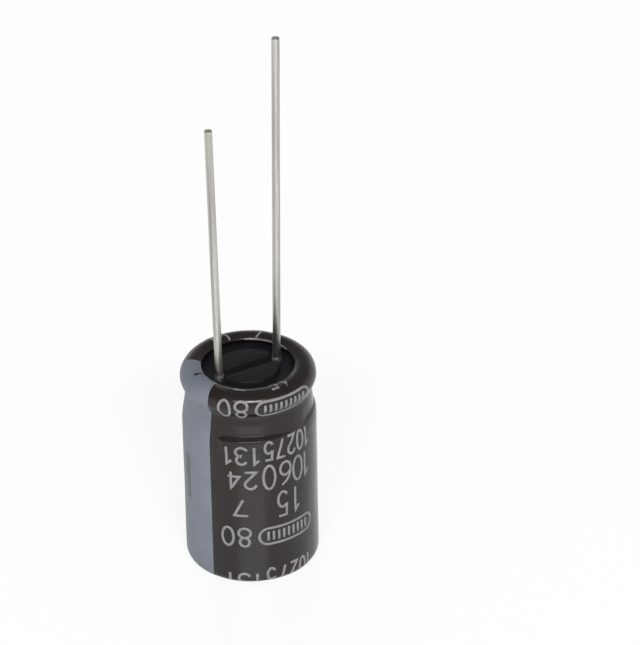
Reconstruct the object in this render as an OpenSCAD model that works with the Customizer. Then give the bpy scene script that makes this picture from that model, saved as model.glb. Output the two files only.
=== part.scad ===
// Radial electrolytic capacitor, standing on its closed end with both wires up.
// The origin is the middle of the end it stands on, +X points to the long wire.

/* [Can] */
// Outside diameter of the drawn aluminium can
can_d = 9.9; // [8:0.05:12]
// Length of the can from its closed end to the top of the curled rim
can_len = 16.7; // [14:0.1:24]
// Thickness of the can's side
can_wall = 0.3; // [0.2:0.02:0.4]
// Thickness of the can's closed end
can_floor = 0.4; // [0.3:0.05:0.8]
// Outside radius of the corner round the closed end
heel_r = 0.4; // [0.3:0.05:1]
// Outside radius of the soft shoulder below the bead
shoulder_r = 2.8; // [2:0.1:3.2]
// Length of the straight flank between the shoulder and the bead
shoulder_flank = 1.62; // [1:0.02:2]
// Depth of the rolled bead, inwards from the can's side
bead_depth = 0.65; // [0.5:0.05:0.8]
// Radius of the wheel that rolled the bead
bead_roll = 0.5; // [0.4:0.05:0.6]
// Length of the straight flank between the bead and the rim's curl
bead_flank = 0.54; // [0.4:0.02:0.7]
// How far the curled rim stands out past the can's side
rim_out = 0.05; // [-0.05:0.01:0.15]
// Outside radius of the rim's curl
curl_r = 0.85; // [0.75:0.05:1]
// Gap between the rim's curled edge and the bung's face
curl_gap = 0.2; // [0.1:0.02:0.25]

/* [Vent] */
// Distance of the scored lines' tips from the sleeve's lip
vent_margin = 0.2; // [0.1:0.05:1]
// Width of a scored line at the surface
vent_w = 0.3; // [0.15:0.05:0.5]
// Angle of the crossed lines from the line of the wires
vent_turn = 45; // [0:5:90]

/* [Sleeve] */
// Thickness of the shrunk sleeve
sleeve_wall = 0.18; // [0.1:0.01:0.25]
// Air between the sleeve and the can
skin_gap = 0.02; // [0.01:0.005:0.05]
// How far the sleeve folds in over both ends, from the can's side
lip_over = 1.45; // [1.2:0.05:1.6]
// Depth of the sleeve's hollow over the bead, inwards from its side
neck_depth = 0.36; // [0.28:0.02:0.42]
// Radius of that hollow
neck_roll = 0.6; // [0.5:0.05:0.7]
// Length of the straight flank between the hollow and the rim's curl
neck_flank = 0.37; // [0.2:0.01:0.45]

/* [Polarity stripe] */
// Angle that the printed stripe takes up
stripe_angle = 62; // [30:1:90]
// Angle from the short wire to the stripe's middle
stripe_turn = -6.5; // [-20:0.5:20]
// Thickness of the stripe's ink
ink_t = 0.04; // [0.03:0.01:0.06]
// Length of a minus mark in the stripe
mark_len = 3.9; // [2:0.1:5]
// Width of a minus mark
mark_w = 0.65; // [0.4:0.05:1.2]
// Height of the middle of the mark on the side
mark_z = 8.2; // [5:0.1:9]
// Width of the mark on the rim
rim_mark_w = 0.3; // [0.2:0.05:0.6]
// Distance of the mark on the rim from the rim's outer side
rim_mark_in = 0.8; // [0.3:0.05:1]

/* [Bung] */
// Height of the rubber bung without its pads
bung_h = 3.3; // [3:0.1:4]
// Depth of the bung's face below the rim's top
bung_recess = 0.6; // [0.5:0.05:0.8]
// Air between the bung and what it seals
bung_gap = 0.02; // [0.01:0.005:0.05]
// Radius of the two half-moon pads
pad_r = 2.4; // [2:0.05:3.1]
// Height of the pads above the bung's face
pad_h = 0.45; // [0.2:0.05:0.5]
// Width of the channel between the pads
channel_w = 0.9; // [0.6:0.05:1.6]
// Radius of the pads' upper edge
pad_round = 0.15; // [0.05:0.05:0.2]

/* [Wires] */
// Distance between the two wires at the bung
lead_pitch = 5; // [4.6:0.1:5.2]
// Diameter of a tinned wire
wire_d = 0.6; // [0.5:0.05:0.7]
// Length of the long wire above the bung's face
anode_len = 27.5; // [10:0.5:35]
// Length of the short wire above the bung's face
cathode_len = 21.5; // [8:0.5:30]
// Outward angle of the anode wire
anode_lean = 1.1; // [0:0.1:3]
// Outward angle of the cathode wire
cathode_lean = 0.7; // [0:0.1:3]
// Bevel at a wire's cut end
tip_bevel = 0.06; // [0.02:0.01:0.12]
// How far a wire's root is upset by its weld, all round
root_out = 0.03; // [0.01:0.01:0.05]
// Height above the bung's face to which the upset root tapers
root_h = 1.1; // [1:0.1:2]

/* [Lead tabs] */
// Diameter of the round aluminium stem in the bung
stem_d = 1.2; // [1:0.05:1.4]
// Depth of the stem's end below the bung's face
stem_sink = 0.5; // [0.3:0.05:0.8]
// How far the weld between stem and wire stands out round the wire's root
weld_out = 0.06; // [0.04:0.01:0.12]
// Height of the weld above the bung's face
weld_h = 0.5; // [0.4:0.05:0.8]
// Thickness of the flattened tab
tab_t = 0.2; // [0.12:0.02:0.24]
// Width of the flattened tab along the turn it lies in
tab_w = 2; // [1.2:0.1:2.2]
// Height of the element left under the tab
tab_foot = 1.7; // [1:0.1:6]

/* [Wound element] */
// Thickness of one turn: both foils and both papers
turn_t = 0.26; // [0.24:0.01:0.3]
// Slack between two turns
turn_gap = 0.04; // [0.03:0.01:0.06]
// Least room left between the element and the can's side
side_room = 0.25; // [0.1:0.05:1]
// Number of turns inside the one that holds the tabs
tab_turn = 5; // [3:1:6]
// Room between the element and the bung
head_room = 1; // [0.8:0.1:3]
// Air under the element
seat_gap = 0.1; // [0.05:0.05:0.3]
// Thickness of the closing tape
tape_t = 0.06; // [0.04:0.01:0.1]
// Width of the closing tape
tape_w = 8; // [4:0.5:10]

/* [Hidden] */
$fn = 64;
far = 30;
arc_steps = 10;

can_r = can_d / 2;
wire_r = wire_d / 2;
lead_x = lead_pitch / 2;
skin = skin_gap + sleeve_wall;
can_z = skin;
rim_z = can_z + can_len;
floor_z = can_z + can_floor;
lip_r = can_r - lip_over;
bung_z = rim_z - bung_recess;
bung_foot_z = bung_z - bung_h;

// Centre of an arc at a radius x below the arc about c, where a straight flank of a length joins
// the two, and reach is the sum of their radii
function below(c, x, reach, flank) = [x, c.y - sqrt(reach ^ 2 + flank ^ 2 - (x - c.x) ^ 2)];

// Centres of the arcs that the can and the sleeve share
heel_c = [can_r - heel_r, can_z + heel_r];
curl_c = [can_r + rim_out - curl_r, rim_z - curl_r];
bead_c = below(curl_c, can_r - bead_depth + bead_roll, curl_r + bead_roll, bead_flank);
neck_c = below(curl_c, can_r + skin - neck_depth + neck_roll, curl_r + skin + neck_roll, neck_flank);
shoulder_c = below(bead_c, can_r - shoulder_r, bead_roll + shoulder_r, shoulder_flank);
curl_end = 180 - asin((bung_z + curl_gap - curl_c.y) / (curl_r - can_wall));

// Points of an arc in the plane of radius and height
function arc(c, r, from, to, steps = arc_steps) =
    [for (i = [0 : steps]) let (a = from + (to - from) * i / steps) c + r * [cos(a), sin(a)]];

function flip(points) = [for (i = [len(points) - 1 : -1 : 0]) points[i]];

// Where the straight flank leaves the lower arc a for the hollow b, and where it meets the curl c
function flank_in(a, ra, b, rb) = atan2(b.y - a.y, b.x - a.x) - acos((ra + rb) / norm(b - a));
function flank_out(b, rb, c, rc) = atan2(b.y - c.y, b.x - c.x) + acos((rb + rc) / norm(b - c));

bead_in = flank_in(shoulder_c, shoulder_r, bead_c, bead_roll);
bead_out = flank_out(bead_c, bead_roll, curl_c, curl_r);
neck_in = flank_in(shoulder_c, shoulder_r + skin, neck_c, neck_roll);
neck_out = flank_out(neck_c, neck_roll, curl_c, curl_r + skin);

// The can's side a depth inside its outer face, from the shoulder to an angle round the curl
function can_side(depth, end) = concat(
    arc(shoulder_c, shoulder_r - depth, 0, bead_in),
    arc(bead_c, bead_roll + depth, 180 + bead_in, 180 + bead_out),
    arc(curl_c, curl_r - depth, bead_out, end));

// The sleeve's face a depth below its outer face, from the lower lip to the upper one
function sleeve_face(depth) = let (out = skin - depth, curl = curl_r + out) concat(
    [[lip_r, can_z - out]],
    arc(heel_c, heel_r + out, -90, 0),
    arc(shoulder_c, shoulder_r + out, 0, neck_in),
    arc(neck_c, neck_roll + depth, 180 + neck_in, 180 + neck_out),
    arc(curl_c, curl, neck_out, acos((lip_r - curl_c.x) / curl)));

// Radius at height z on the straight line from p to q
function line_r(p, q, z) = p.x + (q.x - p.x) * (z - p.y) / (q.y - p.y);

// A sector of a revolved profile, its middle turned to an angle
module sector(middle, angle) {
    rotate([0, 0, middle - angle / 2]) rotate_extrude(angle = angle) children();
}

stripe_middle = 180 + stripe_turn;
rim_r = curl_c.x + curl_r + skin;
full_turn = 360;

// Angle that a width takes up at a radius
function width_angle(width, r) = width / (2 * PI * r) * full_turn;

module ink() {
    difference() {
        sector(stripe_middle, stripe_angle)
            polygon(concat(sleeve_face(0), flip(sleeve_face(ink_t))));
        sector(stripe_middle, width_angle(mark_w, can_r + skin))
            translate([lip_r, mark_z - mark_len / 2]) square([can_r, mark_len]);
        sector(stripe_middle, width_angle(rim_mark_w, rim_r - rim_mark_in))
            translate([0, curl_c.y]) square([rim_r - rim_mark_in, 2 * curl_r]);
    }
}

module sleeve() {
    color("#2b2022") difference() {
        rotate_extrude() polygon(concat(sleeve_face(0), flip(sleeve_face(sleeve_wall))));
        ink();
    }
}

module polarity_stripe() {
    color("#75809a") ink();
}

// One scored line across the closed end, a square bar sunk by its lower edge
module score(turn) {
    vent_len = 2 * (lip_r - vent_margin);
    rotate([0, 0, turn]) translate([0, 0, can_z]) rotate([45, 0, 0])
        cube([vent_len, vent_w / sqrt(2), vent_w / sqrt(2)], center = true);
}

module can() {
    corner = can_wall / 2;
    color("#c4c6c8") difference() {
        rotate_extrude() polygon(concat(
            [[0, can_z]],
            arc(heel_c, heel_r, -90, 0),
            can_side(0, curl_end),
            flip(can_side(can_wall, curl_end)),
            [[can_r - can_wall, floor_z + corner], [can_r - can_wall - corner, floor_z], [0, floor_z]]));
        for (turn = [vent_turn, vent_turn + 90]) score(turn);
    }
}

bung_depth = can_wall + bung_gap;
bung_side = can_side(bung_depth, asin((bung_z - curl_c.y) / (curl_r - bung_depth)));

// Radius of the bung's side at height z, on the straight flank or on the shoulder's arc below it
function bung_r(z) = z > bung_side[arc_steps].y
    ? line_r(bung_side[arc_steps], bung_side[arc_steps + 1], z)
    : shoulder_c.x + sqrt((shoulder_r - bung_depth) ^ 2 - max(0, z - shoulder_c.y) ^ 2);

stem_r = stem_d / 2;
stem_z = bung_z - stem_sink;
root_r = wire_r + root_out;
weld_r = root_r + weld_out;

module bung() {
    color("#1b1b1e") difference() {
        union() {
            rotate_extrude() polygon(concat(
                [[0, bung_foot_z], [bung_r(bung_foot_z), bung_foot_z]],
                [for (i = [arc_steps + 1 : len(bung_side) - 1]) bung_side[i]],
                [[0, bung_z]]));
            pads();
        }
        for (side = [-1, 1]) translate([side * lead_x, 0, stem_z + bung_gap]) {
            mirror([0, 0, 1]) cylinder(r = stem_r + bung_gap, h = far);
            translate([0, 0, -bung_h / 2]) cylinder(r = weld_r + bung_gap, h = far);
        }
    }
}

// The round boss that keeps the bung off a board, split by a channel along the wires
module pads() {
    top = bung_z + pad_h;
    difference() {
        rotate_extrude() polygon(concat(
            [[0, bung_z - pad_h], [pad_r, bung_z - pad_h]],
            arc([pad_r - pad_round, top - pad_round], pad_round, 0, 90, 4),
            [[0, top]]));
        translate([-far / 2, -channel_w / 2, bung_z]) cube([far, channel_w, far]);
    }
}

weld_socket = weld_h / 3;
weld_gap = bung_gap / 2;

// A wire stands in the socket of its weld and leans about the socket's floor
module wire(side, length, lean, around = 0) {
    reach = length - weld_socket;
    r = wire_r + around;
    translate([side * lead_x, 0, bung_z + weld_socket]) rotate([0, side * lean, 0])
        rotate_extrude() polygon([[0, 0], [root_r + around, 0], [r, root_h - weld_socket],
                                  [r, reach - tip_bevel], [r - tip_bevel, reach], [0, reach]]);
}

module anode_wire() {
    color("#c9c7c0") wire(1, anode_len, anode_lean);
}

module cathode_wire() {
    color("#c9c7c0") wire(-1, cathode_len, cathode_lean);
}

pitch = turn_t + turn_gap;
core_r = lead_x - turn_t / 2 - tab_turn * pitch;
roll_z = floor_z + seat_gap;
roll_top = bung_foot_z - head_room;
tab_z = roll_z + tab_foot;
tab_angle = width_angle(tab_w, lead_x);
roll_out = can_r - can_wall - side_room - tape_t - pitch / 2;
turns = floor((roll_out - core_r) / pitch);

// A piece of the turn that holds a tab, thick t and wide by an angle
module tab_plate(side, t, angle, low, high) {
    sector(90 - side * 90, angle) translate([lead_x - t / 2, low]) square([t, high - low]);
}

// The weld's rounded flank, from the bung's face up to the wire
weld_end = 60;
function weld_face() = [for (a = [0 : 15 : weld_end])
    [root_r + weld_out * cos(a), bung_z + weld_h * sin(a)]];

module tab(side, length, lean) {
    color("#b3b5b8") difference() {
        union() {
            translate([side * lead_x, 0, 0]) rotate_extrude() polygon(concat(
                [[0, roll_top], [tab_t, roll_top], [stem_r, roll_top + stem_r], [stem_r, stem_z],
                 [weld_r, stem_z]],
                weld_face(),
                [[0, bung_z + weld_h * sin(weld_end)]]));
            tab_plate(side, tab_t, tab_angle, tab_z, roll_top + stem_r);
        }
        wire(side, length, lean, weld_gap);
    }
}

module anode_tab() {
    tab(1, anode_len, anode_lean);
}

module cathode_tab() {
    tab(-1, cathode_len, cathode_lean);
}

// A strip wound from an inner radius: half turns about two centres half a pitch apart
module wound_strip(r, count, t, low, high) {
    for (k = [0 : count - 1]) {
        rotate_extrude(angle = 180) translate([r + k * pitch, low]) square([t, high - low]);
        translate([pitch / 2, 0, 0]) rotate([0, 0, 180]) rotate_extrude(angle = 180)
            translate([r + (k + 1 / 2) * pitch, low]) square([t, high - low]);
    }
}

module wound_element() {
    pocket_angle = width_angle(tab_w + 2 * seat_gap, lead_x);
    color("#a8794a") difference() {
        wound_strip(core_r, turns, turn_t, roll_z, roll_top);
        for (side = [-1, 1])
            tab_plate(side, pitch, pocket_angle, tab_z - seat_gap, far);
    }
}

module closing_tape() {
    middle = (roll_z + roll_top) / 2;
    color("#d9b45a")
        wound_strip(core_r + turns * pitch, 1, tape_t, middle - tape_w / 2, middle + tape_w / 2);
}

sleeve();
polarity_stripe();
can();
bung();
anode_wire();
cathode_wire();
anode_tab();
cathode_tab();
wound_element();
closing_tape();
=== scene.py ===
"""Looks of a radial electrolytic capacitor that stands on its closed end, wires up.

Lengths are in millimetres and turned into metres as meshes are made, except where a comment
says metres.
On the sleeve a place is an angle round the axis and a height along the film,
which is the plain height on the straight side and runs on over the rim and the heel.
"""

import math

import bpy
import numpy as np
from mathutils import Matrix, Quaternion, Vector, noise


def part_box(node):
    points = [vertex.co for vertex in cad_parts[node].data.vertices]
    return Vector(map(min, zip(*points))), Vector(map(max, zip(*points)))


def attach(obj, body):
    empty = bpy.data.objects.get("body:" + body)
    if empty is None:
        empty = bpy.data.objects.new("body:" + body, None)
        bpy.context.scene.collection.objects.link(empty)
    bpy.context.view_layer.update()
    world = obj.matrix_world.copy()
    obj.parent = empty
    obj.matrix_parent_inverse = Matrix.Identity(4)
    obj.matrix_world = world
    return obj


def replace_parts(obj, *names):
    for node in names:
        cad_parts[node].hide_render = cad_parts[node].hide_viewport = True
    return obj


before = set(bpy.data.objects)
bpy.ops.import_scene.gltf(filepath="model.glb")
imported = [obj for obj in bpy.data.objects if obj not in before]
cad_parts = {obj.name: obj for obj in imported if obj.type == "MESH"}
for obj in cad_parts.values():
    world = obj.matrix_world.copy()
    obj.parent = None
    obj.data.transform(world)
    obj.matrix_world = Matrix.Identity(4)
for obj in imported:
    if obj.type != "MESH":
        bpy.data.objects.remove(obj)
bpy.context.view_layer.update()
MM = 0.001
TINY = 1e-6

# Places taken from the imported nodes
BODY = "root"
SLEEVE_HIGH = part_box("sleeve")[1] / MM
CAN_LOW, CAN_HIGH = (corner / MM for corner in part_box("can"))
BUNG_LOW, BUNG_HIGH = (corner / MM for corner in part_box("bung"))
PAD_H = 0.45
BUNG_FACE = BUNG_HIGH.z - PAD_H

# The sleeve's outer face, arc by arc, as the solid has it
SKIN = CAN_LOW.z
SIDE_R = 4.95 + SKIN
CURL_R = 0.85 + SKIN
HEEL_R = 0.4 + SKIN
SHOULDER_R, SHOULDER_DROP = 2.8 + SKIN, 4.7
NECK_R, NECK_DEPTH, NECK_DROP = 0.6, 0.36, 2.0
LIP_R = 3.5
FILM = 0.18
HEEL_C = np.array([SIDE_R - HEEL_R, HEEL_R])
SHOULDER_C = np.array([SIDE_R - SHOULDER_R, CAN_HIGH.z - SHOULDER_DROP])
NECK_C = np.array([SIDE_R - NECK_DEPTH + NECK_R, CAN_HIGH.z - NECK_DROP])
CURL_C = np.array([SLEEVE_HIGH.y - CURL_R, SLEEVE_HIGH.z - CURL_R])

# The film lies a little inside the solid's face, and the ink stands a hair above the film
FILM_DROP = 0.014
INK, INK_ROOT = 0.012, 0.003
LIP_EASE = 0.12
SLEEVE_COLUMNS, SLEEVE_GAP = 320, 0.115

# Steps of the arcs, from the closed end up, and of the film's rounded edges at the rim and foot
HEEL_STEPS, SHOULDER_STEPS, NECK_STEPS, CURL_STEPS = 16, 8, 12, 40
LIP_STEPS, FOOT_STEPS = 8, 4

# The film's waves: the noise's scale round the axis and along the film, its shift, and the depth
SLOW_WAVE = (2.2, 0.22, 0.0, 0.014)
FINE_WAVE = (7.0, 0.9, 9.0, 0.004)

# Creases over the can's shoulder: middle angle, half width, height, depth, and the share of the
# half width over which the left and the right end fade. A ridge swells below a crease, the film
# steps inwards over its foot, and it comes back above. The sleeve's rows are finer in their band.
CREASES = [(248, 37, 13.27, 0.30, 0.18, 0.8), (318, 24, 13.42, 0.12, 0.4, 0.4),
           (20, 30, 13.26, 0.15, 0.5, 0.3), (78, 22, 13.38, 0.10, 0.4, 0.4),
           (128, 20, 13.30, 0.08, 0.4, 0.4)]
CREASE_SWELL, CREASE_FOOT, CREASE_HEAD = 1.3, 0.32, 1.1
CREASE_RIDGE, CREASE_ARCH = 0.5, 0.14
CREASE_BAND, CREASE_FINER = (12.8, 13.9), 4

# The stripe and its minus marks
STRIPE_MIDDLE = 173.5
STRIPE_ANGLE = 62.0
STRIPE_LIP_ANGLE = 56.0
STRIPE_COLUMNS, STRIPE_GAP = 49, 0.12
MARK_LEN, MARK_W, MARK_Z = 3.9, 0.65, 8.2
RIM_MARK_W, RIM_MARK_R = 0.3, 4.4

# The print runs in a column on each side of the stripe, given by its middle angle and its shift
# along the film, and repeats along the film
PERIOD = 11.6
PRINT_COLUMNS = ((STRIPE_MIDDLE + 84.5, 0.0), (STRIPE_MIDDLE - 97.0, -0.75))
STROKE, STROKE_STEP, STROKE_CROSSING = 0.21, 0.25, 0.002
LEAST_MITRE = 0.45

# The camera as the photograph has it
AZIMUTH, ELEVATION, ROLL = -30.0, 31.87, -0.96
AIM_SIDE, AIM_HEIGHT, AIM_DISTANCE = 5.5, 20.4, 300.5
FOCAL_PX, FRAME_PX, SENSOR = 4000.0, 645.0, 36.0

# In metres: where the camera's view begins and ends, and where a lamp is aimed
CLIP_NEAR, CLIP_FAR = 0.01, 10
LAMP_AIM = Vector((0, 0, 0.012))


def link(name, verts, faces, material):
    """A mesh object from points in millimetres, which rides on the part's only body."""
    mesh = bpy.data.meshes.new(name)
    mesh.from_pydata([tuple(float(c) * MM for c in v) for v in verts], [], [tuple(f) for f in faces])
    mesh.validate()
    mesh.materials.append(material)
    mesh.polygons.foreach_set("use_smooth", [True] * len(mesh.polygons))
    piece = bpy.data.objects.new(name, mesh)
    bpy.context.scene.collection.objects.link(piece)
    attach(piece, BODY)
    return piece


def arc(centre, radius, start, end, steps):
    """Points of an arc between two angles in degrees."""
    angles = np.radians(np.linspace(start, end, steps + 1))
    return [centre + radius * np.array([math.cos(a), math.sin(a)]) for a in angles]


def turned(profile, angles):
    """Points of a profile (radius, height), one ring of angles in degrees for each."""
    return [(r * math.cos(math.radians(a)), r * math.sin(math.radians(a)), z)
            for r, z in profile for a in angles]


def flank_in(a, ra, b, rb):
    """Angle at which an arc passes into the hollow arc above it."""
    d = b - a
    return math.degrees(math.atan2(d[1], d[0]) - math.acos((ra + rb) / np.hypot(*d)))


def flank_out(b, rb, c, rc):
    """Angle at which a hollow arc passes into the arc above it, seen from that arc."""
    d = b - c
    return math.degrees(math.atan2(d[1], d[0]) + math.acos((rb + rc) / np.hypot(*d)))


def lip_end(depth, inset):
    """Angle round the curl at which the film's face at a depth is an inset from the lip's edge."""
    return math.degrees(math.acos((LIP_R + inset - CURL_C[0]) / (CURL_R - depth)))


LIP_END = lip_end(0, LIP_EASE / 2)


def film_profile(depth, end=LIP_END):
    """Points (radius, height) of the film a depth below its outer face, from lip to lip."""
    low = flank_in(SHOULDER_C, SHOULDER_R, NECK_C, NECK_R)
    high = flank_out(NECK_C, NECK_R, CURL_C, CURL_R)
    points = [np.array([LIP_R + LIP_EASE / 2, depth])]
    points += arc(HEEL_C, HEEL_R - depth, -90, 0, HEEL_STEPS)
    points += arc(SHOULDER_C, SHOULDER_R - depth, 0, low, SHOULDER_STEPS)
    points += arc(NECK_C, NECK_R + depth, 180 + low, 180 + high, NECK_STEPS)
    points += arc(CURL_C, CURL_R - depth, high, end, CURL_STEPS)
    return points


def lip_corner():
    """Middle of the lip's rounded upper corner."""
    tilt = math.radians(LIP_END)
    return film_profile(FILM_DROP)[-1] - LIP_EASE * np.array([math.cos(tilt), math.sin(tilt)])


def smooth(t):
    """Rises from 0 to 1 with no corner as t goes from 0 to 1."""
    t = min(1.0, max(0.0, t))
    return t * t * (3 - 2 * t)


class Film:
    """The film's outer face as a surface over angle and height along the film."""

    def __init__(self):
        profile = np.array(film_profile(0.0))
        steps = np.hypot(*np.diff(profile, axis=0).T)
        self.along = np.concatenate([[0.0], np.cumsum(steps)])
        heel_end = int(np.argmin(np.hypot(*(profile - (HEEL_C + [HEEL_R, 0])).T)))
        self.along += HEEL_R - self.along[heel_end]
        self.profile = profile
        tangent = np.gradient(profile, self.along, axis=0)
        self.normal = np.stack([tangent[:, 1], -tangent[:, 0]], -1)
        self.normal /= np.hypot(*self.normal.T)[:, None]
        self.low, self.high = float(self.along[0]), float(self.along[-1])

    def at(self, s):
        """Point (radius, height) and outward direction of the true face at a height along the film."""
        point = [np.interp(s, self.along, self.profile[:, i]) for i in (0, 1)]
        normal = [np.interp(s, self.along, self.normal[:, i]) for i in (0, 1)]
        return point, normal

    def dent(self, angle, s):
        """How far the film lies inside its true form: waves, and creases over the shoulder."""
        a = math.radians(angle)
        wave = 0
        for around, along, shift, depth in (SLOW_WAVE, FINE_WAVE):
            place = Vector((around * math.cos(a), around * math.sin(a), along * s + shift))
            wave += depth * (1 + noise.noise(place))
        crease = sum(depth * self.crease(angle - middle, half, s - line, *fades)
                     for middle, half, line, depth, *fades in CREASES)
        return wave + crease

    @staticmethod
    def crease(away, half, above, fade_left, fade_right):
        """A share of a crease's depth, less than nothing on its ridge."""
        away = ((away + 180) % 360 - 180) / half
        side = smooth((1 - abs(away)) / (fade_right if away > 0 else fade_left))
        above += CREASE_ARCH * away * away
        reach = side * CREASE_FOOT / 2
        if above <= -reach:
            return -side * CREASE_RIDGE * smooth(1 + (above + reach) / CREASE_SWELL)
        if above >= reach:
            return side * (1 - CREASE_RIDGE) * smooth(1 - (above - reach) / CREASE_HEAD)
        return above / CREASE_FOOT + side * (0.5 - CREASE_RIDGE)

    def point(self, angle, s, lift=0.0):
        """A point on the film, or a lift above it."""
        (r, z), (nr, nz) = self.at(s)
        push = lift - FILM_DROP - self.dent(angle, s)
        r, z = r + nr * push, max(0.0, z + nz * push)
        a = math.radians(angle)
        return r * math.cos(a), r * math.sin(a), z


film = Film()


def grid_faces(rows, columns):
    """Quads between the rows of a grid whose last column joins its first."""
    faces = []
    for row in range(0, (rows - 1) * columns, columns):
        for j in range(columns):
            k = (j + 1) % columns
            faces.append((row + j, row + k, row + columns + k, row + columns + j))
    return faces


def film_heights(gap):
    """Heights along the film, close enough together to follow its turns and its creases."""
    low, high = CREASE_BAND
    stretches = [(film.low, low, gap), (low, high, gap / CREASE_FINER), (high, film.high, gap)]
    heights = [np.linspace(a, b, int((b - a) / g) + 1) for a, b, g in stretches]
    return np.unique(np.concatenate(heights).round(6))


def make_sleeve(material):
    """The shrunk film: its waved outer face, both rounded lips and its plain inner face."""
    columns = SLEEVE_COLUMNS
    angles = np.arange(columns) * 360 / columns
    heights = film_heights(SLEEVE_GAP)
    verts = [film.point(a, s) for s in heights for a in angles]
    inner = film_profile(FILM, lip_end(FILM, 0))
    top = arc(lip_corner(), LIP_EASE, LIP_END, 180, LIP_STEPS)[1:]
    foot = arc(film_profile(FILM_DROP)[0] + [0, FILM / 2], FILM / 2, 180, 270, FOOT_STEPS)[:-1]
    plain = top + inner[::-1] + foot
    verts += turned(plain, angles)
    rows = len(heights) + len(plain)
    faces = grid_faces(rows, columns)
    last = (rows - 1) * columns
    faces += [(last + j, last + (j + 1) % columns, (j + 1) % columns, j) for j in range(columns)]
    return link("sleeve_film", verts, faces, material)


# The stretch of the lip's edge that holds a painted highlight, a pale skin laid on in place of the
# lamp's glint on the film's rounded edge: its angles, half the skin's thickness and its drop, and the
# shares of the stretch over which its ends thin out
PALE_FROM, PALE_TO, PALE_COLUMNS, PALE_STEPS = -4, 71, 76, 6
PALE_SKIN, PALE_DROP = 0.004, 0.06
PALE_START, PALE_FINISH, PALE_LEAST = 0.15, 0.12, 0.02


def make_painted_lip_highlight(material):
    """A pale skin over the lip's rounded edge as a painted highlight, thinned to almost nothing at both
    ends.
    """
    sides = []
    for lift in (PALE_SKIN, -PALE_SKIN):
        side = arc(lip_corner(), LIP_EASE + lift, LIP_END, 180, PALE_STEPS)
        sides.append(side + [side[-1] - [0, PALE_DROP]])
    section = sides[0] + sides[1][::-1]
    middle = sum(section) / len(section)
    verts = []
    for share in np.linspace(0, 1, PALE_COLUMNS):
        width = smooth(min(share / PALE_START, (1 - share) / PALE_FINISH))
        width = PALE_LEAST + (1 - PALE_LEAST) * width
        profile = [middle + (point - middle) * width for point in section]
        verts += turned(profile, [PALE_FROM + (PALE_TO - PALE_FROM) * share])
    count = len(section)
    faces = grid_faces(PALE_COLUMNS, count)
    faces += [tuple(reversed(range(count))), tuple(range(len(verts) - count, len(verts)))]
    return link("lip_highlight_skin", verts, faces, material)


def ink_shell(flat, faces, lift=INK):
    """Points and faces of a thin closed layer of ink over flat places (angle, height)."""
    count = len(flat)
    verts = [film.point(a, s, height) for height in (lift, -INK_ROOT) for a, s in flat]
    edges = {(p, q): True for f in faces for p, q in zip(f, f[1:] + f[:1])}
    walls = [(q, p, p + count, q + count) for p, q in edges if (q, p) not in edges]
    return verts, list(faces) + [tuple(v + count for v in reversed(f)) for f in faces] + walls


def join_parts(parts):
    """One list of points and one of faces from several."""
    verts, faces = [], []
    for v, f in parts:
        faces += [tuple(i + len(verts) for i in face) for face in f]
        verts += v
    return verts, faces


def make_stripe(material):
    """The stripe, lip to lip, with its minus marks left open."""
    half = STRIPE_ANGLE / 2
    rim_turn = LIP_END - math.degrees(math.acos((RIM_MARK_R - CURL_C[0]) / CURL_R))
    rim_low = film.high - math.radians(rim_turn) * CURL_R
    opens = [(MARK_Z - MARK_LEN / 2, MARK_Z + MARK_LEN / 2, math.degrees(MARK_W / SIDE_R) / 2),
             (rim_low, film.high, math.degrees(RIM_MARK_W / RIM_MARK_R) / 2)]
    across = set(np.linspace(-half, half, STRIPE_COLUMNS))
    across = sorted(across | {side * width for _, _, width in opens for side in (-1, 1)})
    heights = sorted(set(film_heights(STRIPE_GAP)) | {h for low, high, _ in opens for h in (low, high)})
    rim_top = film.high - math.radians(LIP_END) * CURL_R
    flat = []
    for s in heights:
        narrow = smooth((s - rim_top) / (film.high - rim_top)) * (1 - STRIPE_LIP_ANGLE / STRIPE_ANGLE)
        flat += [(STRIPE_MIDDLE + a * (1 - narrow), s) for a in across]
    faces = []
    for i, s in enumerate(heights[:-1]):
        middle = (s + heights[i + 1]) / 2
        marked = max((mark for low, high, mark in opens if low < middle < high), default=0)
        for j, a in enumerate(across[:-1]):
            if abs(a + across[j + 1]) / 2 < marked:
                continue
            k = i * len(across) + j
            faces.append((k, k + 1, k + 1 + len(across), k + len(across)))
    verts, faces = ink_shell(flat, faces)
    return link("stripe_ink", verts, faces, material)


def bow(cx, cy, rx, ry, start, end, steps=14):
    """Points of an arc of an ellipse inside a glyph's box."""
    angles = np.radians(np.linspace(start, end, steps + 1))
    return [(cx + rx * math.cos(a), cy + ry * math.sin(a)) for a in angles]


# Strokes of plain figures, each in a box 1 high, with its middle and the width between its strokes
GLYPH_MIDDLE, GLYPH_SPAN = 0.31, 0.54
GLYPHS = {
    "0": [bow(0.31, 0.5, 0.27, 0.5, 90, 450, 28)],
    "1": [[(0.12, 0.78), (0.36, 1.0), (0.36, 0.0)]],
    "2": [bow(0.31, 0.73, 0.27, 0.27, 170, -35) + [(0.04, 0.0), (0.6, 0.0)]],
    "3": [bow(0.29, 0.75, 0.25, 0.25, 160, -80) + bow(0.29, 0.27, 0.29, 0.27, 80, -160)],
    "4": [[(0.6, 0.28), (0.02, 0.28), (0.44, 1.0), (0.44, 0.0)]],
    "5": [[(0.56, 1.0), (0.1, 1.0), (0.07, 0.56)] + bow(0.3, 0.32, 0.28, 0.32, 130, -150)],
    "7": [[(0.02, 1.0), (0.6, 1.0), (0.22, 0.0)]],
    "6": [[(0.5, 0.96)] + bow(0.62, 0.3, 0.58, 0.66, 125, 175, 6)
          + bow(0.31, 0.28, 0.27, 0.28, 170, -190)],
    "8": [bow(0.31, 0.76, 0.22, 0.24, 90, 450, 22), bow(0.31, 0.26, 0.28, 0.26, 90, 450, 24)],
}


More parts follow.
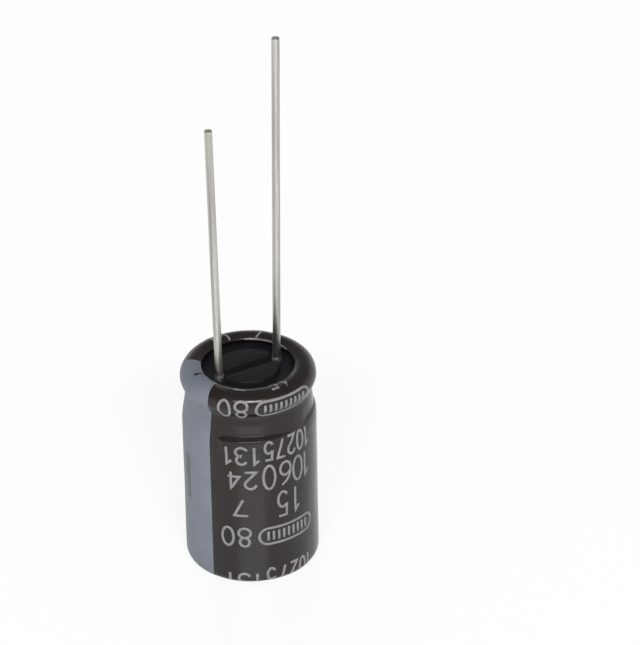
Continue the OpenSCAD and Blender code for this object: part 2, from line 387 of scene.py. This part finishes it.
def stroke_band(points, width):
    """Left and right edges of a stroke, mitred at its corners."""
    p = np.array(points, float)
    step = np.diff(p, axis=0)
    step /= np.hypot(*step.T)[:, None]
    closed = np.hypot(*(p[0] - p[-1])) < TINY
    before = np.vstack([step[-1:] if closed else step[:1], step])
    after = np.vstack([step, step[:1] if closed else step[-1:]])
    middle = before + after
    middle /= np.hypot(*middle.T)[:, None]
    side = np.stack([-middle[:, 1], middle[:, 0]], -1)
    reach = width / 2 / np.maximum((middle * after).sum(1), LEAST_MITRE)
    return p + side * reach[:, None], p - side * reach[:, None]


def ink_stroke(points, width, middle, lift):
    """A stroke given in millimetres round the film (to the right, wires up) and along it."""
    dense = [points[0]]
    for p, q in zip(points, points[1:]):
        pieces = max(1, int(math.dist(p, q) / STROKE_STEP))
        dense += [tuple(np.array(p) + (np.array(q) - p) * i / pieces) for i in range(1, pieces + 1)]
    left, right = stroke_band(dense, width)
    to_angle = math.degrees(1 / SIDE_R)
    flat, faces = [], []
    for (lx, ly), (rx, ry) in zip(left, right):
        centre = ((lx + rx) / 2, (ly + ry) / 2)
        for x, y in ((lx, ly), centre, (rx, ry)):
            flat.append((middle + x * to_angle, min(max(y, film.low), film.high)))
    for i in range(len(left) - 1):
        heights = [flat[3 * i + k][1] for k in range(6)]
        if min(heights) >= film.high - TINY or max(heights) <= film.low + TINY:
            continue
        for k in (0, 1):
            a, b = 3 * i + k, 3 * i + k + 1
            faces.append((a, a + 3, b + 3, b))
    used = sorted({v for f in faces for v in f})
    index = {v: i for i, v in enumerate(used)}
    return ink_shell([flat[v] for v in used], [tuple(index[v] for v in f) for f in faces], lift)


# Rows of one repeat: middle height along the film, figure height, figure width, places and figures.
# A place is in millimetres to the right of the print's middle, as the row stands wires up.
ROWS = [
    (4.38, 1.87, 1.12, [(-3.46, "0"), (-2.13, "8")]),
    (7.11, 1.66, 1.22, [(-2.35, "7")]),
    (7.08, 2.40, 1.00, [(0.97, "5"), (2.2, "1")]),
    (9.60, 1.70, 1.08, [(-2.88, "4"), (-1.55, "2")]),
    (9.75, 2.32, 1.14, [(-0.1, "0"), (1.26, "6"), (2.45, "0"), (3.35, "1")]),
    (11.83, 1.75, 1.05, [(-3.3, "1"), (-2.25, "3"), (-1.15, "1")]),
    (12.14, 1.85, 0.84, [(-0.1, "5"), (0.95, "7"), (1.87, "2"), (2.75, "0"), (3.5, "1")]),
]
BAR_HEIGHT, BAR_MIDDLE, BAR_HALF, BAR_ROUND = 4.38, 1.45, 2.45, 0.72
BAR_TICKS, TICK_REACH = 9, 0.42


def row_strokes(shift, middle):
    """The figures of every row that falls on the film, a crossing stroke a hair lower."""
    parts = []
    for centre, height, width, places in ROWS:
        s = centre + shift
        if s - height > film.high or s + height < film.low:
            continue
        for place, figure in places:
            for k, stroke in enumerate(GLYPHS[figure]):
                points = [(place + (GLYPH_MIDDLE - x) * (width - STROKE) / GLYPH_SPAN,
                           s + (0.5 - y) * (height - STROKE)) for x, y in stroke]
                part = ink_stroke(points, STROKE, middle, INK - STROKE_CROSSING * k)
                if part[1]:
                    parts.append(part)
    return parts


def bar_strokes(shift, middle):
    """A plain round-ended bar in outline, with a row of ticks along the film."""
    centre = BAR_HEIGHT + shift
    straight = BAR_HALF - BAR_ROUND
    outline = bow(BAR_MIDDLE + straight, centre, BAR_ROUND, BAR_ROUND, -90, 90)
    outline += bow(BAR_MIDDLE - straight, centre, BAR_ROUND, BAR_ROUND, 90, 270)
    parts = [ink_stroke(outline + outline[:1], STROKE, middle, INK)]
    for x in np.linspace(-straight, straight, BAR_TICKS):
        tick = [(BAR_MIDDLE + x, centre - TICK_REACH), (BAR_MIDDLE + x, centre + TICK_REACH)]
        parts.append(ink_stroke(tick, STROKE, middle, INK))
    return [part for part in parts if part[1]]


def make_print(material):
    """The print's columns, each repeated above and below as far as the film goes."""
    parts = []
    for middle, phase in PRINT_COLUMNS:
        for shift in (phase - PERIOD, phase, phase + PERIOD):
            parts += row_strokes(shift, middle)
            if film.low < BAR_HEIGHT + shift < film.high:
                parts += bar_strokes(shift, middle)
    verts, faces = join_parts(parts)
    return link("print_ink", verts, faces, material)


def lathe(profile, steps):
    """A closed turned form from (radius, height) points that start and end on its axis."""
    rings = profile[1:-1]
    verts = turned(rings, np.arange(steps) * 360 / steps)
    faces = grid_faces(len(rings), steps)
    low, high = len(verts), len(verts) + 1
    verts += [(0.0, 0.0, profile[0][1]), (0.0, 0.0, profile[-1][1])]
    faces += [(low, (j + 1) % steps, j) for j in range(steps)]
    top = (len(rings) - 1) * steps
    faces += [(high, top + j, top + (j + 1) % steps) for j in range(steps)]
    return verts, faces


# The wires, with the root that their weld upsets
LEAD_X, WIRE_R, ROOT_OUT, ROOT_H = 2.5, 0.3, 0.03, 1.1
WELD_SOCKET = 0.5 / 3
WIRE_BEVEL, WIRE_CLEAR = 0.05, 0.006
WIRE_RINGS, WIRE_STEPS, BEVEL_STEPS = 90, 48, 4


def make_wire(name, side, lean, node, material):
    """A tinned wire that leans outwards by an angle, its root a little wider, its end rounded."""
    low, high = (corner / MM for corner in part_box(node))
    reach = (high.z - low.z) / math.cos(math.radians(lean)) - 4 * WIRE_CLEAR
    foot = BUNG_FACE + WELD_SOCKET + WIRE_CLEAR
    tilt = side * math.radians(lean)
    heights = np.linspace(0.0, reach - WIRE_BEVEL, WIRE_RINGS)
    profile = [(0.0, 0.0)]
    for z in heights:
        profile.append((WIRE_R + ROOT_OUT * max(0.0, 1 - z / (ROOT_H - WELD_SOCKET)), z))
    profile += arc(np.array([WIRE_R - WIRE_BEVEL, heights[-1]]), WIRE_BEVEL, 0, 90, BEVEL_STEPS)[1:]
    profile.append((0.0, reach))
    verts, faces = lathe(profile, WIRE_STEPS)
    verts = [(side * LEAD_X + x * math.cos(tilt) + z * math.sin(tilt), y,
              foot + z * math.cos(tilt) - x * math.sin(tilt)) for x, y, z in verts]
    piece = link(name, verts, faces, material)
    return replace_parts(piece, node)


# The bung's visible half: its waist under the rim, the pads and the channel between them
BUNG_WAIST, BUNG_RIM, RIM_EASE, BUNG_FLARE = 3.95, 4.5, 0.1, 0.2
WAIST_FOOT, WAIST_HEAD, RIM_FOOT = 1.6, 1.2, 0.5
BUNG_STEPS = 96
PAD_R, PAD_GAP, PAD_EDGE, PAD_CORNER = 2.4, 0.45, 0.15, 0.14
PAD_ARC_STEPS, PAD_FLAT_STEPS, PAD_EASE_STEPS = 40, 16, 6


def make_bung(material):
    """The moulded bung: a turned body, and two half-moon pads with rounded edges."""
    face, foot = BUNG_FACE, BUNG_LOW.z
    profile = [(0, foot), (BUNG_WAIST + BUNG_FLARE, foot), (BUNG_WAIST, face - WAIST_FOOT),
               (BUNG_WAIST, face - WAIST_HEAD), (BUNG_RIM, face - RIM_FOOT),
               (BUNG_RIM, face - RIM_EASE), (BUNG_RIM - RIM_EASE, face),
               (BUNG_RIM - 2 * RIM_EASE, face), (0, face)]
    parts = [lathe(profile, BUNG_STEPS)]
    rows = [(0.0, -PAD_EDGE)]
    rows += [(PAD_EDGE * (1 - math.cos(t)), PAD_H - PAD_EDGE + PAD_EDGE * math.sin(t))
             for t in np.linspace(0, math.pi / 2, PAD_EASE_STEPS + 1)]
    for side in (1, -1):
        verts = []
        for inset, height in rows:
            ring = pad_outline(PAD_R - inset, PAD_GAP + inset, PAD_CORNER)
            verts += [(px, side * py, face + height) for px, py in ring]
        count = len(ring)
        faces = grid_faces(len(rows), count)
        centre = len(verts)
        verts.append((0.0, side * PAD_R / 2, face + PAD_H))
        last = (len(rows) - 1) * count
        faces += [(centre, last + j, last + (j + 1) % count) for j in range(count)]
        if side < 0:
            faces = [tuple(reversed(f)) for f in faces]
        parts.append((verts, faces))
    verts, faces = join_parts(parts)
    piece = link("bung_rubber", verts, faces, material)
    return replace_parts(piece, "bung")


def pad_outline(radius, gap, corner):
    """A half-moon: an arc closed by a straight side at the gap, its two corners rounded."""
    start = math.asin((gap + corner) / (radius - corner))
    turn = np.linspace(start, math.pi - start, PAD_ARC_STEPS + 1)
    points = [(radius * math.cos(t), radius * math.sin(t)) for t in turn]
    cx = (radius - corner) * math.cos(start)
    left = [(-cx + corner * math.cos(t), gap + corner + corner * math.sin(t))
            for t in np.linspace(math.pi - start, 1.5 * math.pi, PAD_EASE_STEPS + 1)[1:]]
    flat = [(-cx + 2 * cx * i / PAD_FLAT_STEPS, gap) for i in range(1, PAD_FLAT_STEPS)]
    right = [(-px, py) for px, py in reversed(left)]
    return points + left + flat + right


def tree(name):
    """A material with its nodes, its links and its main shader."""
    material = bpy.data.materials.new(name)
    material.use_nodes = True
    nodes = material.node_tree.nodes
    return material, nodes, material.node_tree.links, nodes["Principled BSDF"]


# A look passes from one end to the other over the middle stretch of its noise
NOISE_LOW, NOISE_HIGH = 0.3, 0.7
NOISE_ROUGH, LOOK_DETAIL, GRAIN_DETAIL = 0.55, 3.0, 4.0


def noise_into(nodes, links, scale, detail, stretch):
    """A noise texture over object space, its scale in waves per metre."""
    place = nodes.new("ShaderNodeTexCoord")
    mapping = nodes.new("ShaderNodeMapping")
    mapping.inputs["Scale"].default_value = stretch
    texture = nodes.new("ShaderNodeTexNoise")
    texture.inputs["Scale"].default_value = scale
    texture.inputs["Detail"].default_value = detail
    texture.inputs["Roughness"].default_value = NOISE_ROUGH
    links.new(place.outputs["Object"], mapping.inputs["Vector"])
    links.new(mapping.outputs["Vector"], texture.inputs["Vector"])
    return texture.outputs["Fac"]


def ramp(nodes, links, source, dark, light):
    """A colour between two as a noise rises."""
    node = nodes.new("ShaderNodeValToRGB")
    stops = ((NOISE_LOW, dark), (NOISE_HIGH, light))
    for element, (at, colour) in zip(node.color_ramp.elements, stops):
        element.position, element.color = at, (*colour, 1)
    links.new(source, node.inputs["Fac"])
    return node.outputs["Color"]


def spread(nodes, links, source, low, high):
    """A value between two as a noise rises."""
    node = nodes.new("ShaderNodeMapRange")
    node.inputs["From Min"].default_value = NOISE_LOW
    node.inputs["From Max"].default_value = NOISE_HIGH
    node.inputs["To Min"].default_value = low
    node.inputs["To Max"].default_value = high
    links.new(source, node.inputs["Value"])
    return node.outputs["Result"]


def bump(nodes, links, source, shader, depth):
    """A fine grain a depth in metres high."""
    node = nodes.new("ShaderNodeBump")
    node.inputs["Strength"].default_value = 1.0
    node.inputs["Distance"].default_value = depth
    links.new(source, node.inputs["Height"])
    links.new(node.outputs["Normal"], shader.inputs["Normal"])


def surface(name, dark, light, scale, rough, grain_depth=0.0, stretch=(1, 1, 1), metallic=0.0,
            specular=0.5, grain_scale=None):
    """A material whose colour and gloss wander between two values over the surface."""
    material, nodes, links, shader = tree(name)
    wander = noise_into(nodes, links, scale, LOOK_DETAIL, stretch)
    links.new(ramp(nodes, links, wander, dark, light), shader.inputs["Base Color"])
    links.new(spread(nodes, links, wander, *rough), shader.inputs["Roughness"])
    shader.inputs["Metallic"].default_value = metallic
    shader.inputs["Specular IOR Level"].default_value = specular
    if grain_depth:
        grain = noise_into(nodes, links, grain_scale or scale * 2, GRAIN_DETAIL, stretch)
        bump(nodes, links, grain, shader, grain_depth)
    return material


def make_materials():
    """Every look: its darker and lighter colour, waves per metre, roughness and fine grain."""
    return {
        "sleeve": surface("sleeve_film", (0.0110, 0.0076, 0.0074), (0.0150, 0.0106, 0.0104), 260,
                          (0.17, 0.24), 0.00001, specular=0.34, grain_scale=900),
        "stripe": surface("stripe_ink", (0.122, 0.142, 0.164), (0.178, 0.190, 0.236), 330,
                          (0.42, 0.54), 0.000006, specular=0.3, grain_scale=5200),
        "print": surface("print_ink", (0.180, 0.174, 0.185), (0.245, 0.238, 0.250), 1500,
                         (0.42, 0.52), 0.000004, specular=0.35, grain_scale=5200),
        # A painted highlight: a pale colour laid on the lip's edge in place of the lamp's glint
        "pale": surface("lip_highlight_paint", (0.08, 0.076, 0.076), (0.25, 0.243, 0.243), 1900, (0.35, 0.5)),
        "wire": surface("tinned_wire", (0.29, 0.285, 0.262), (0.64, 0.63, 0.59), 2300, (0.30, 0.44),
                        0.000012, stretch=(1, 1, 0.03), metallic=1.0),
        "tab": surface("weld_metal", (0.14, 0.14, 0.14), (0.34, 0.34, 0.34), 3600, (0.45, 0.65),
                       0.00005, metallic=1.0),
        "rubber": surface("bung_rubber", (0.0098, 0.0098, 0.0118), (0.0128, 0.0128, 0.0155), 1200,
                          (0.33, 0.48), 0.00002, specular=0.08, grain_scale=7000),
        "can": surface("can_metal", (0.70, 0.70, 0.71), (0.83, 0.83, 0.84), 700, (0.26, 0.42),
                       0.000006, metallic=1.0, grain_scale=3500),
        "paper": surface("element_paper", (0.30, 0.19, 0.09), (0.45, 0.31, 0.17), 1400, (0.6, 0.8),
                         0.00003),
        "tape": surface("closing_tape", (0.55, 0.38, 0.10), (0.68, 0.50, 0.17), 900, (0.3, 0.45),
                        0.00001),
    }


def dress(node, material):
    """Gives a CAD node its look and leaves its form alone."""
    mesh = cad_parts[node].data
    mesh.materials.clear()
    mesh.materials.append(material)


def direction(azimuth, elevation):
    """The way from the part to a camera or lamp."""
    a, e = math.radians(azimuth), math.radians(elevation)
    return Vector((math.sin(a) * math.cos(e), -math.cos(a) * math.cos(e), math.sin(e)))


def make_camera():
    """The photograph's camera, turned a little about its own view."""
    back = direction(AZIMUTH, ELEVATION)
    right = direction(AZIMUTH + 90, 0)
    aim = right * AIM_SIDE + Vector((0, 0, AIM_HEIGHT))
    data = bpy.data.cameras.new("camera")
    data.sensor_width = SENSOR
    data.lens = FOCAL_PX * SENSOR / FRAME_PX
    data.clip_start, data.clip_end = CLIP_NEAR, CLIP_FAR
    camera = bpy.data.objects.new("camera", data)
    camera.location = (aim + back * AIM_DISTANCE) * MM
    camera.rotation_mode = "QUATERNION"
    camera.rotation_quaternion = Quaternion(back, math.radians(ROLL)) @ (-back).to_track_quat("-Z", "Y")
    bpy.context.scene.collection.objects.link(camera)
    bpy.context.scene.camera = camera


def make_lamp(name, azimuth, elevation, distance, width, height, watts):
    """A soft lamp aimed at the part, placed by angles as the camera is, its sizes in metres."""
    back = direction(azimuth, elevation)
    data = bpy.data.lights.new(name, "AREA")
    data.shape = "RECTANGLE"
    data.size, data.size_y = width, height
    data.energy = watts
    lamp = bpy.data.objects.new(name, data)
    lamp.location = LAMP_AIM + back * distance
    lamp.rotation_mode = "QUATERNION"
    lamp.rotation_quaternion = (-back).to_track_quat("-Z", "Y")
    bpy.context.scene.collection.objects.link(lamp)


# The surround: the sines of the heights between which it fades, and its strength there
SKY_FADE = (0.08, 0.5)
SKY = (1.0, 0.29)

# The floor: white paper under a thin gloss, and the share of it that the camera, gloss and clear
# things see as plain white. Its half width is in metres.
FLOOR_HALF = 3.0
FLOOR_PAPER, FLOOR_GLOSS, FLOOR_ROUGH = 0.95, 0.075, 0.26
FLOOR_WHITE = 0.8


def make_surround():
    """A surround that is white at the horizon and dimmer overhead."""
    world = bpy.data.worlds.new("surround")
    bpy.context.scene.world = world
    world.use_nodes = True
    nodes, links = world.node_tree.nodes, world.node_tree.links
    place = nodes.new("ShaderNodeTexCoord")
    split = nodes.new("ShaderNodeSeparateXYZ")
    links.new(place.outputs["Generated"], split.inputs[0])
    height = nodes.new("ShaderNodeMapRange")
    for socket, value in zip(("From Min", "From Max", "To Min", "To Max"), SKY_FADE + SKY):
        height.inputs[socket].default_value = value
    links.new(split.outputs["Z"], height.inputs["Value"])
    nodes["Background"].inputs["Color"].default_value = (1, 1, 1, 1)
    links.new(height.outputs["Result"], nodes["Background"].inputs["Strength"])


def make_floor():
    """A wide pale floor that keeps the part's shadow."""
    half = FLOOR_HALF
    corners = [(-half, -half, 0), (half, -half, 0), (half, half, 0), (-half, half, 0)]
    mesh = bpy.data.meshes.new("floor")
    mesh.from_pydata(corners, [], [(0, 1, 2, 3)])
    floor = bpy.data.objects.new("floor", mesh)
    bpy.context.scene.collection.objects.link(floor)
    material, nodes, links, shader = tree("floor")
    shader.inputs["Base Color"].default_value = (FLOOR_PAPER, FLOOR_PAPER, FLOOR_PAPER, 1)
    shader.inputs["Roughness"].default_value = 1.0
    shader.inputs["Specular IOR Level"].default_value = 0.0
    path = nodes.new("ShaderNodeLightPath")
    seen = path.outputs["Is Camera Ray"]
    for ray in ("Is Glossy Ray", "Is Transmission Ray"):
        either = nodes.new("ShaderNodeMath")
        either.operation = "MAXIMUM"
        links.new(seen, either.inputs[0])
        links.new(path.outputs[ray], either.inputs[1])
        seen = either.outputs[0]
    share = nodes.new("ShaderNodeMath")
    share.operation = "MULTIPLY"
    share.inputs[1].default_value = FLOOR_WHITE
    links.new(seen, share.inputs[0])
    white = nodes.new("ShaderNodeEmission")
    paper = nodes.new("ShaderNodeMixShader")
    links.new(share.outputs[0], paper.inputs["Fac"])
    links.new(shader.outputs["BSDF"], paper.inputs[1])
    links.new(white.outputs["Emission"], paper.inputs[2])
    gloss = nodes.new("ShaderNodeBsdfGlossy")
    gloss.inputs["Color"].default_value = (FLOOR_GLOSS, FLOOR_GLOSS, FLOOR_GLOSS, 1)
    gloss.inputs["Roughness"].default_value = FLOOR_ROUGH
    both = nodes.new("ShaderNodeAddShader")
    links.new(paper.outputs["Shader"], both.inputs[0])
    links.new(gloss.outputs["BSDF"], both.inputs[1])
    links.new(both.outputs["Shader"], nodes["Material Output"].inputs["Surface"])
    mesh.materials.append(material)


make_camera()
make_surround()
make_floor()
make_lamp("key", azimuth=-28, elevation=37.5, distance=1.2, width=0.8, height=0.17, watts=13.5)
bpy.context.scene.view_settings.view_transform = "Standard"

materials = make_materials()
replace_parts(make_sleeve(materials["sleeve"]), "sleeve")
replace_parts(make_stripe(materials["stripe"]), "polarity_stripe")
# A painted highlight along the lip's edge at the back
make_painted_lip_highlight(materials["pale"])
make_print(materials["print"])
make_bung(materials["rubber"])
make_wire("anode_wire_tinned", side=1, lean=1.1, node="anode_wire", material=materials["wire"])
make_wire("cathode_wire_tinned", side=-1, lean=0.7, node="cathode_wire", material=materials["wire"])
for cad_node, look in (("can", "can"), ("anode_tab", "tab"), ("cathode_tab", "tab"),
                       ("wound_element", "paper"), ("closing_tape", "tape")):
    dress(cad_node, materials[look])

bpy.context.view_layer.update()
